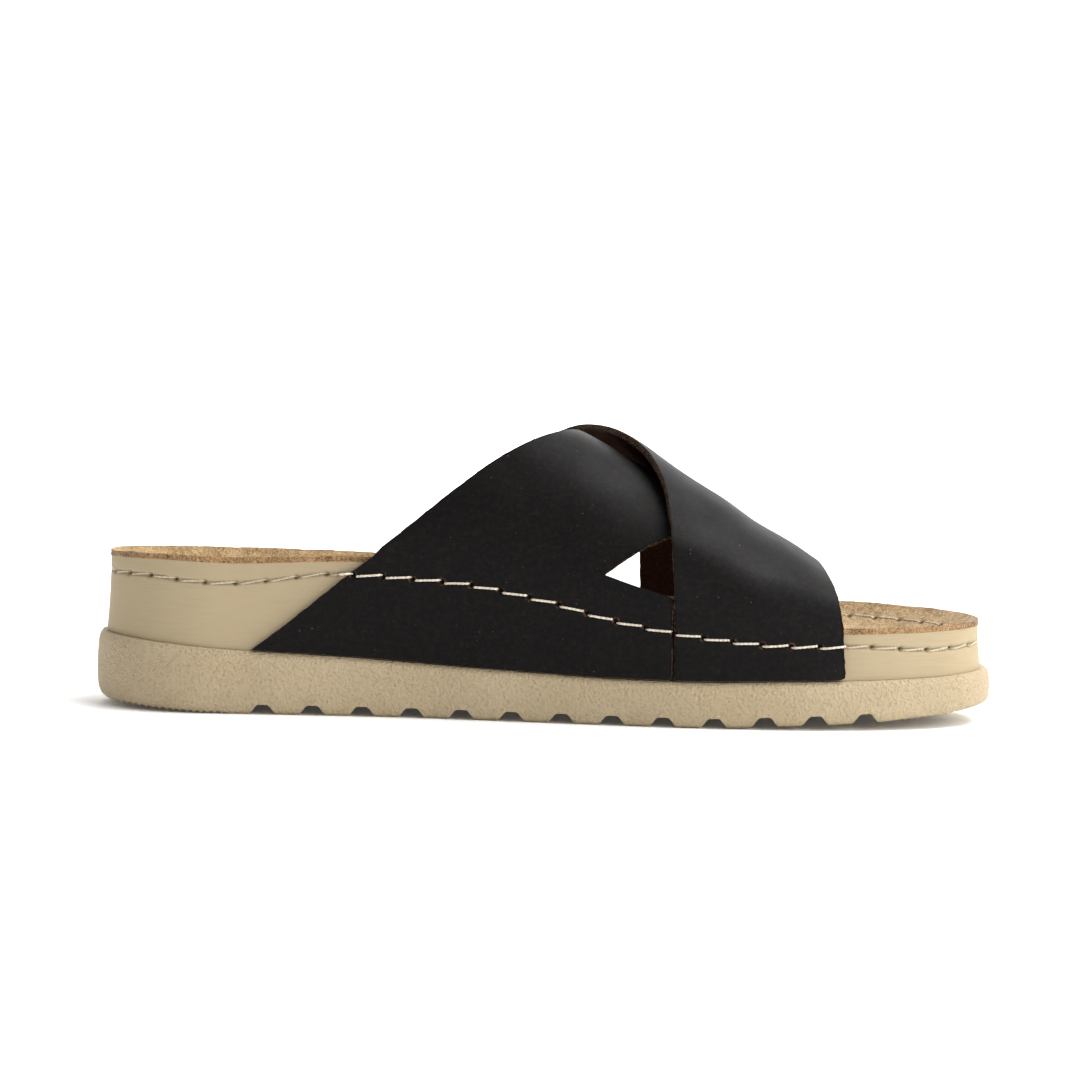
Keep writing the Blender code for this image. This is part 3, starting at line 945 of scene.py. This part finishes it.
@dataclass
class Outsole:
    """The pebbled outsole: grooved tread, fine ribs under heel and toe, rounded foot and top edge.

    foot_share: share of the height that the close rows of its foot take up. ledge_rings: how far in from the
    chamfer the last rings lie.
    """

    last: Last
    finish: MouldedFoam
    stations: int = 700
    foot_rows: int = 10
    side_rows: int = 17
    foot_share: float = 0.2
    side_radius: float = 2.4 * MM
    top_chamfer: float = 1.6 * MM
    ledge_rings: tuple[float, float] = (1.0 * MM, 4.0 * MM)
    groove_pitch: float = 14.4 * MM
    groove_count: int = 13
    first_groove: float = -80.4 * MM
    groove_mouth: float = 8.4 * MM
    groove_roof: float = 2.5 * MM
    groove_depth: float = 2.9 * MM
    rib_pitch: float = 2.05 * MM
    rib_depth: float = 0.65 * MM
    ribbed: tuple[tuple[float, float], ...] = ((-125 * MM, -90 * MM), (100 * MM, 122 * MM))

    def profile(self) -> Array:
        """Share of the height and inset from the widest line, from the tread up to the ledge."""
        radius, chamfer = self.side_radius, self.top_chamfer
        return np.array([
            (0.00, radius),
            (0.06, 0.45 * radius),
            (0.20, 0.10 * radius),
            (0.45, 0.0),
            (0.82, 0.2 * chamfer),
            (0.94, 0.5 * chamfer),
            (1.00, chamfer),
        ])

    def tread(self, x: Array) -> Array:
        """Height of the underside along the sole: grooves with softly rounded flanks, and fine ribs."""
        base = self.last.tread_z(self.last.share_at(x, 0))
        height = base.copy()
        flank = (self.groove_mouth - self.groove_roof) / 2
        for k in range(self.groove_count):
            away = np.abs(x - (self.first_groove + k * self.groove_pitch)) - self.groove_roof / 2
            height = np.maximum(height, base + self.groove_depth * smooth(1 - away / flank))
        for start, end in self.ribbed:
            inside = smooth((x - start) / self.rib_pitch) * smooth((end - x) / self.rib_pitch)
            wave = 0.5 - 0.5 * np.cos(2 * np.pi * (x - start) / self.rib_pitch)
            height += inside * self.rib_depth * late_step(wave, 1.6)
        return height

    def build(self) -> None:
        """Rings up the side, lifted to the tread's underside where they would hang below it."""
        share, side = around(self.stations)
        low, ledge = self.last.tread_z(share), self.last.ledge_z(share)
        foot = np.linspace(0, self.foot_share, self.foot_rows)
        rises = np.concatenate([foot, np.linspace(self.foot_share, 1, self.side_rows)[1:]])
        insets = curve(self.profile(), 1, rises)
        levels = [(inset, low + rise * (ledge - low)) for rise, inset in zip(rises, insets)]
        levels += [(self.top_chamfer + further, ledge) for further in self.ledge_rings]
        points = np.stack([self.last.ring(share, side, inset, z) for inset, z in levels])
        points[..., 2] = np.maximum(points[..., 2], self.tread(points[..., 0]))
        shape = Shape(points, shell(self.stations, len(points)))
        made = shape.piece("outsole_moulding", [self.finish.material()])
        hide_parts("outsole")


@dataclass
class Midsole:
    """The ground foam midsole: a flared wall with the seam sunk into it, under a cupped top.

    band: half width of the rows that are closer along the seam. hole_dark and painted_shade: how far painted
    shade darkens the holes and the seam's trough. butt: half width of the painted shadow line where the
    straps meet end to end.
    """

    last: Last
    seam: Seam
    finish: MouldedFoam
    stations: int = 640
    wall_rows: tuple[int, int, int] = (18, 16, 12)
    cup_rows: int = 8
    band: float = 1.4 * MM
    joint: float = 0.08 * MM
    seam_depth: float = 0.6 * MM
    seam_width: float = 0.6 * MM
    hole_depth: float = 1.0 * MM
    hole_width: float = 0.75 * MM
    hole_dark: float = 0.75
    painted_shade: float = 0.16
    butt: float = 1.2 * MM

    def build(self) -> None:
        """Rings up the wall and down into the cup, with a trough along the seam and a pit at each hole;
        painted shade darkens the pits, the trough and the line where the straps meet.
        """
        last = self.last
        share, side = around(self.stations)
        foot, rim = last.ledge_z(share) + self.joint, last.rim_z(share, side)
        top, line = rim - last.insole - self.joint, rim - self.seam.drop(share)
        bands = [foot, line - self.band, line + self.band, top]
        heights = []
        for low, high, count in zip(bands, bands[1:], self.wall_rows):
            heights += [low + t * (high - low) for t in np.linspace(0, 1, count, endpoint=False)]
        levels = [(last.flared((z - foot) / (top - foot)), z) for z in [*heights, top]]
        wall = len(levels)
        for reach in last.cup_reach * np.linspace(0, 1, self.cup_rows + 1)[1:]:
            under = last.under_cup(share, reach, side, last.insole + last.gap)
            levels.append((last.wall_inset + reach, under))
        points = np.stack([last.ring(share, side, inset, z) for inset, z in levels])
        trough = bell(points[:wall, :, 2] - line, self.seam_width)
        holes = self.seam.outer(*self.seam.where(self.seam.run), 0)
        pit = bell(nearest(points[:wall], holes), self.hole_width)
        sink = self.seam_depth * trough + self.hole_depth * pit
        points[:wall, 1:-1] -= (sink[..., None] * outward_of(points[0]))[:, 1:-1]
        # Painted shadow along the gap where the straps meet end to end
        meeting = np.where(side < 0, LOWER_STRAP[0, FRONT], UPPER_STRAP[-1, FRONT]) - 0.5
        shadow = bell(points[:wall, :, 0] - last.sole_length * meeting, self.butt, power=4)
        # Painted shade in the stitch holes and along the seam's trough
        dark = np.maximum(self.hole_dark * late_step(pit, 1.6), self.painted_shade * trough)
        hole = np.zeros(points.shape[:2])
        hole[:wall] = np.maximum(dark, shadow)
        shape = Shape(points, shell(self.stations, len(points)), marks={"hole": hole})
        made = shape.piece("midsole_foam", [self.finish.material()])
        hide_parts("midsole")


@dataclass
class Insole:
    """The split leather insole: a napped top that curls up to a rough cut edge."""

    last: Last
    seam: Seam
    top: SplitLeather
    edge: SplitLeather
    stations: int = 420
    under_rows: int = 6
    cup_rows: int = 30
    edge_rows: int = 7
    rungs: int = 18
    ragged: float = 0.28 * MM
    wave: float = 0.18 * MM
    hole_depth: float = 0.7 * MM
    hole_width: float = 1.0 * MM

    def waves(self, points: Array) -> Array:
        """How far the napped top rises and falls."""
        return self.wave * uneven(points, 6 * MM, 1.6 * MM, 0.7, 5)

    def build(self) -> None:
        """Rings from under the cup, out and up the cut edge, and down over the napped top."""
        last = self.last
        share, side = around(self.stations)
        unders = last.cup_reach * np.linspace(1, 0, self.under_rows + 1)[:-1] ** 1.5
        levels = [(reach, last.under_cup(share, reach, side, last.insole)) for reach in unders]
        first_edge = len(levels)
        rim = last.rim_z(share, side)
        levels += [(0, rim - last.insole * (1 - rise)) for rise in np.linspace(0, 1, self.edge_rows)]
        last_edge = len(levels) - 1
        tops = last.cup_reach * np.linspace(0, 1, self.cup_rows)[1:] ** 1.4
        levels += [(reach, last.cup_z(share, reach, side)) for reach in tops]
        points = np.stack([last.ring(share, side, last.wall_inset + reach, z) for reach, z in levels])
        outward = outward_of(points[0])
        cut = points[first_edge : last_edge + 1]
        rough = self.ragged * uneven(cut, 0.9 * MM, 0.4 * MM, 0.6, 3)
        cut[:, 1:-1] += (rough[..., None] * outward)[:, 1:-1]
        upper = points[last_edge:]
        upper[..., 2] += self.waves(upper)
        pit = bell(nearest(upper, self.seam.inner_holes()), self.hole_width)
        upper[..., 2] -= self.hole_depth * pit
        row_of = np.repeat(np.arange(len(points) - 1), len(share))
        number = ((row_of >= first_edge) & (row_of < last_edge)).astype(int)
        inner, outer = points[-1, 1 : self.stations - 1], points[-1, : self.stations - 1 : -1]
        t = (np.arange(1, self.rungs) / self.rungs)[None, :, None]
        between = inner[:, None] * (1 - t) + outer[:, None] * t
        between[..., 2] += self.waves(between) * np.sin(np.pi * t[..., 0]) ** 0.5
        hole = np.zeros(points.shape[:2])
        # Painted shade in the insole's stitch holes
        hole[last_edge:] = late_step(pit, 1.5)
        filled = np.zeros(between.shape[:2])
        rungs = hole.size + np.arange(filled.size).reshape(filled.shape)
        marks = {"hole": np.concatenate([hole.ravel(), filled.ravel()])}
        everything = np.concatenate([points.reshape(-1, 3), between.reshape(-1, 3)])
        shape = Shape(everything, shell(self.stations, len(points), rungs), [number], marks)
        made = shape.piece("insole_leather", [self.top.material(), self.edge.material()], sharp=0.9)
        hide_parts("insole")


@dataclass(frozen=True)
class Crease:
    """A soft trough, or a ridge where its depth is negative, between two places on a strap."""

    start: tuple[float, float]
    end: tuple[float, float]
    width: float
    depth: float

    def sink(self, x: Array, girth: Array) -> Array:
        """How far the leather sinks: a bell across the line between its ends, fading past them."""
        (x0, g0), (x1, g1) = self.start, self.end
        line = np.array([x1 - x0, g1 - g0])
        length = np.hypot(*line)
        along = ((x - x0) * line[0] + (girth - g0) * line[1]) / length
        across = ((x - x0) * line[1] - (girth - g0) * line[0]) / length
        past = np.maximum(np.maximum(-along, along - length), 0)
        return self.depth * np.exp(-((across / self.width) ** 2) - (past / self.width) ** 2)


@dataclass
class Strap:
    """One leather strap over the foot, with its cut edges, flesh side, stitch holes and creases.

    seam_band: ways over the foot between which the rows are closest. Where rows of the table lie closer than
    tight, filled rows go between them; other rows keep clear of them. cut_depths and cut_rounds: place in the
    leather's thickness of the points on a cut edge, and how far in they lie as a share of the corner.
    torn: reach round a stitch hole within which the front cut is nicked.
    """

    name: str
    last: Last
    seam: Seam
    edges: Array
    lifted: bool
    creases: Sequence[Crease] = ()
    wall_rows: tuple[int, int, int] = (22, 30, 7)
    seam_band: tuple[float, float] = (0.098, 0.128)
    arch_rows: int = 58
    tight: float = 0.013
    filled: int = 7
    clear: float = 0.0006
    outer_columns: int = 290
    inner_columns: int = 40
    cut_depths: tuple[float, ...] = (0.94, 0.84, 0.66, 0.5, 0.34, 0.16, 0.06)
    cut_rounds: tuple[float, ...] = (0.3, 0.05, 0, 0, 0, 0.05, 0.3)
    girth: float = 200 * MM
    wall: float = 18 * MM
    foot_round: float = 1.2 * MM
    nick: float = 0.45 * MM
    torn: float = 3 * MM
    corner: float = 0.28 * MM
    ragged: float = 0.22 * MM
    swell: float = 0.1 * MM
    swell_size: float = 17 * MM
    swell_from: float = 0.04
    hole_depth: float = 1.1 * MM
    hole_width: float = 0.78 * MM

    def rows(self) -> Array:
        """Ways over the foot: closer on the walls, where the seam is, with every row of the table."""
        rim = self.last.rim_share
        marks = (0, *self.seam_band, rim)
        wall = [np.linspace(a, b, n, endpoint=False) for a, b, n in zip(marks, marks[1:], self.wall_rows)]
        half = np.concatenate([*wall, np.linspace(rim, 0.5, self.arch_rows)])
        even = np.concatenate([half, 1 - half[-2::-1]])
        table = self.edges[:, OVER]
        pairs = [(a, b) for a, b in zip(table[:-1], table[1:]) if b - a < self.tight]
        extra = np.concatenate([np.linspace(a, b, self.filled) for a, b in pairs])
        wanted = np.union1d(table, extra)
        clear = np.abs(even[:, None] - wanted).min(axis=1) > self.clear
        return np.union1d(even[clear], wanted)

    def build(self, materials: Sequence[Material]) -> None:
        """A closed loop of leather for each row: grain side, front cut, flesh side and rear cut.

        Args:
            materials: finishes of the grain side, the cut edges and the flesh side.
        """
        last = self.last
        over = self.rows()
        rear = last.sole_length * (curve(self.edges, REAR, over) - 0.5)
        front = last.sole_length * (np.interp(over, self.edges[:, OVER], self.edges[:, FRONT]) - 0.5)
        above = np.minimum(over, 1 - over) / last.rim_share * self.wall
        short = np.clip(1 - above / self.foot_round, 0, 1)
        front = front - self.foot_round * (1 - np.sqrt(1 - short**2))
        ends = np.array([self.corner, 2 * self.corner])
        outer_t = np.concatenate([[0, 0], np.linspace(0, 1, self.outer_columns - 2)[1:-1], [1, 1]])
        outer_in = np.concatenate([ends, np.zeros(self.outer_columns - 4), -ends[::-1]])
        cut_depth, cut_in = np.array(self.cut_depths), self.corner * np.array(self.cut_rounds)
        inner_t = np.linspace(1, 0, self.inner_columns)
        inner_in = np.concatenate([-ends[:1], np.zeros(self.inner_columns - 2), ends[:1]])
        t = np.concatenate([outer_t, np.ones(len(cut_depth)), inner_t, np.zeros(len(cut_depth))])
        inward = np.concatenate([outer_in, -cut_in, inner_in, cut_in])
        grain, flesh = np.ones(self.outer_columns), np.zeros(self.inner_columns)
        depth = np.concatenate([grain, cut_depth, flesh, cut_depth[::-1]])
        on_cut = (np.abs(t - 0.5) == 0.5) & (np.abs(inward) < self.corner)
        x = rear[:, None] + t * (front - rear)[:, None] + inward
        way = np.repeat(over[:, None], len(t), axis=1)
        seed = 11 if self.lifted else 7
        place = last.vault(x, way) + last.leather * depth[None, :, None] * np.array([0, 0, 1])
        x = x + np.where(on_cut, self.ragged * uneven(place, 1.3 * MM, 0.5 * MM, 0.6, seed), 0)
        torn = bell(nearest(last.vault(x, way), self.seam.holes()), self.torn, power=4)
        x = x - np.where(t == 1, self.nick * torn, 0)
        base, normal = last.vault(x, way), last.vault_normal(x, way)
        off = last.lift(x, way) if self.lifted else np.zeros_like(x)
        for crease in self.creases:
            off = off - crease.sink(x, way * self.girth)
        arched = smooth((np.minimum(way, 1 - way) - last.rim_share) / self.swell_from)
        off = off + arched * self.swell * value_noise(base, self.swell_size, seed + 2)
        points = base + normal * (off + last.leather * depth)[..., None]
        outer = points[:, : self.outer_columns]
        pit = bell(nearest(outer, self.seam.holes()), self.hole_width)
        outer -= normal[:, : self.outer_columns] * (self.hole_depth * pit)[..., None]
        self.finish(points, pit, materials)

    def finish(self, points: Array, pit: Array, materials: Sequence[Material]) -> None:
        """Join the loops, close both feet of the strap and give each side its finish."""
        rows, columns = points.shape[:2]
        quads = ring_quads(rows, columns)[:, ::-1]
        column = np.tile(np.arange(columns), rows - 1)
        first_inner = self.outer_columns + len(self.cut_depths)
        number = np.ones(len(quads), int)
        number[column < self.outer_columns - 1] = 0
        number[(column >= first_inner) & (column < first_inner + self.inner_columns - 1)] = 2
        half = np.arange(first_inner)
        matching = np.round(np.linspace(columns - 1, self.outer_columns, len(half))).astype(int)
        caps = []
        for base, turn in ((0, 1), ((rows - 1) * columns, -1)):
            for square in zip(half[:-1], half[1:], matching[1:], matching[:-1]):
                corners = list(dict.fromkeys(square))
                if len(corners) > 2:
                    caps.append(np.array([[base + k for k in corners][::turn]]))
        hole = np.zeros((rows, columns))
        # The hole mark: real brown fray, and painted shade inside each stitch hole
        hole[:, : self.outer_columns] = pit
        shape = Shape(points, [quads, *caps], [number, *np.ones((len(caps), 1))], {"hole": hole})
        made = shape.piece(self.name, materials, sharp=0.8)
        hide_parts("upper")


# Soft square lamps: name, place, size in metres and power in watts.
LAMPS = (
    ("back_lamp", (-0.1, 1.5, 0.8), 0.8, 6),
    ("top_lamp", (0.75, 0.0, 1.5), 1.2, 32),
    ("key_lamp", (1.1, -1.05, 0.7), 0.9, 10),
    ("toe_lamp", (1.6, -0.2, 0.5), 0.9, 7),
)


@dataclass
class Studio:
    """White floor and backdrop, soft lamps from above and the toe's side, and the camera."""

    eye: tuple[float, float, float] = (-1 * MM, -900 * MM, 100.6 * MM)
    pitch: float = np.radians(3.207)
    roll: float = np.radians(1.0)
    lens: float = 100.6
    aim: tuple[float, float, float] = (0.0, 0.0, 0.04)
    floor_reach: float = 4.0
    floor_glow: float = 0.03
    backdrop_at: float = 1.7
    backdrop_reach: float = 3.0
    backdrop_glow: float = 0.9
    ambient: float = 0.42

    def sheet(self, name: str, corners: Sequence[tuple[float, float, float]], glow: float) -> None:
        """A flat sheet of matt white paper, lit from within where it has to stay white."""
        mesh = bpy.data.meshes.new(name)
        mesh.from_pydata(list(corners), [], [tuple(range(len(corners)))])
        material, tree, _ = blank(name)
        light = {"Emission Color": linear("#ffffff"), "Emission Strength": glow}
        surface(tree, "#ffffff", [], [], {"Roughness": 0.9, "Specular IOR Level": 0.1, **light})
        mesh.materials.append(material)
        made = added(name, mesh)

    def lamp(self, name: str, place: tuple[float, float, float], size: float, power: float) -> None:
        """A square soft lamp that points at the instep."""
        light = bpy.data.lights.new(name, "AREA")
        light.size = size
        light.energy = power
        made = added(name, light)
        made.location = place
        aim = Vector(self.aim) - made.location
        made.rotation_euler = aim.to_track_quat("-Z", "Y").to_euler()

    def camera(self) -> None:
        """The photographer's camera: low on the inner side, a little down and a little rolled."""
        data = bpy.data.cameras.new("camera")
        data.lens = self.lens
        data.sensor_width = 36
        data.clip_start = 0.05
        data.clip_end = 50
        right, up = Vector((1, 0, 0)), Vector((0, np.sin(self.pitch), np.cos(self.pitch)))
        back = Vector((0, -np.cos(self.pitch), np.sin(self.pitch)))
        turned = right * np.cos(self.roll) + up * np.sin(self.roll)
        head = up * np.cos(self.roll) - right * np.sin(self.roll)
        made = added("camera", data)
        made.matrix_world = Matrix.Translation(self.eye) @ Matrix((turned, head, back)).transposed().to_4x4()
        bpy.context.scene.camera = made

    def build(self) -> None:
        """Set the stage, the light and the camera."""
        reach, back, wide = self.floor_reach, self.backdrop_at, self.backdrop_reach
        floor = [(-reach, -reach, 0), (reach, -reach, 0), (reach, reach, 0), (-reach, reach, 0)]
        self.sheet("floor", floor, self.floor_glow)
        backdrop = [(-wide, back, 0), (wide, back, 0), (wide, back, wide), (-wide, back, wide)]
        self.sheet("backdrop", backdrop, self.backdrop_glow)
        for row in LAMPS:
            self.lamp(*row)
        world = bpy.data.worlds.new("studio")
        world.use_nodes = True
        air = world.node_tree.nodes["Background"]
        air.inputs["Color"].default_value = linear("#ffffff")
        air.inputs["Strength"].default_value = self.ambient
        bpy.context.scene.world = world
        bpy.context.scene.view_settings.view_transform = "Standard"
        self.camera()


OUTSOLE_FOAM = MouldedFoam(
    name="pebbled_eva_foam",
    colour="#b9a788",
    shade="#958363",
    texture=FoamTexture.PEBBLED,
    roughness=0.62,
    relief=0.85 * MM,
    feature=0.9,
    clouding=0.25,
    pitting=0.3,
)
MIDSOLE_FOAM = MouldedFoam(
    name="ground_eva_foam",
    colour="#a9997b",
    shade="#9b8868",
    texture=FoamTexture.GROUND,
    roughness=0.7,
    relief=0.06 * MM,
    feature=0.5,
    clouding=0.1,
    pitting=0.24,
)
INSOLE_TOP = SplitLeather("napped_split_leather", "#ccb188", "#84663f", 0.9, 0.35 * MM)
INSOLE_EDGE = SplitLeather("cut_split_leather", "#c09a6c", "#4e3522", 0.7, 0.40 * MM)
RAW_EDGE = CutLeather("raw_leather_edge", "#1c120e", "#7a5a40")
FLESH_SIDE = CutLeather("leather_flesh_side", "#38221a", "#523628", 0.6)

LOWER_CREASES = (
    Crease((-40 * MM, 40 * MM), (-12 * MM, 62 * MM), 5 * MM, 0.5 * MM),
    Crease((-5 * MM, 55 * MM), (18 * MM, 76 * MM), 6 * MM, 0.5 * MM),
)
UPPER_CREASES = (
    Crease((39 * MM, 66 * MM), (60 * MM, 62 * MM), 8 * MM, 0.6 * MM),
    Crease((47 * MM, 49 * MM), (62 * MM, 38 * MM), 10 * MM, -1.2 * MM),
)


def main() -> None:
    """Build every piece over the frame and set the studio."""
    logging.basicConfig(level=logging.INFO, format="%(name)s %(message)s")
    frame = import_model()
    LOG.info("packed nodes: %s", ", ".join(sorted(frame["nodes"])))
    low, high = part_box("outsole")
    last = Last(sole_length=high.x - low.x)
    seam = Seam(last, (LOWER_STRAP, UPPER_STRAP))
    Outsole(last, OUTSOLE_FOAM).build()
    Midsole(last, seam, MIDSOLE_FOAM).build()
    Insole(last, seam, INSOLE_TOP, INSOLE_EDGE).build()
    leathers = [OiledLeather().material(), RAW_EDGE.material(), FLESH_SIDE.material()]
    Strap("lower_strap", last, seam, LOWER_STRAP, False, LOWER_CREASES).build(leathers)
    Strap("upper_strap", last, seam, UPPER_STRAP, True, UPPER_CREASES).build(leathers)
    seam.build()
    Studio().build()


if __name__ == "__main__":
    main()
